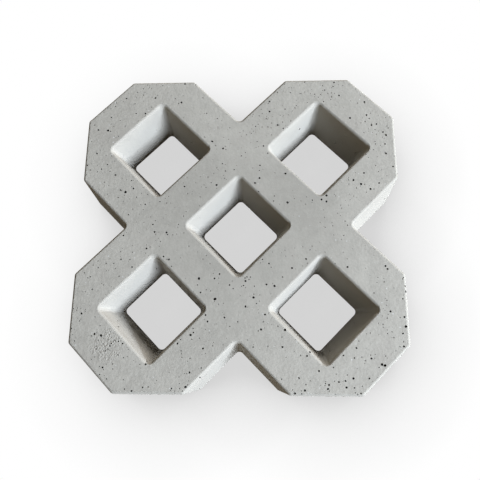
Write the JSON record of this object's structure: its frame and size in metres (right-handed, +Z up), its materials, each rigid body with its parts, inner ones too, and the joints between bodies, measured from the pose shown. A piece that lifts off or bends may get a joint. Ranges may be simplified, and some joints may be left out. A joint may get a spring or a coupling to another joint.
{
  "type": "concrete grid paving stone",
  "caption": "Square cast concrete paving stone pierced by diamond-set square pockets for turf or gravel, with V-notched sides and cut corners.",
  "frame": {"origin": "middle of the flat bed face that the stone lies on", "axes": "+Z up through the wearing face, +X and +Y square to the flat sides, so that the pockets' corners point along X and Y"},
  "size_m": [0.4, 0.4, 0.06],
  "materials": {
    "concrete": "matt grey cast concrete, smooth from the mould, with small air holes"
  },
  "bodies": {
    "root": {"paving_stone": "concrete"}
  },
  "joints": []
}
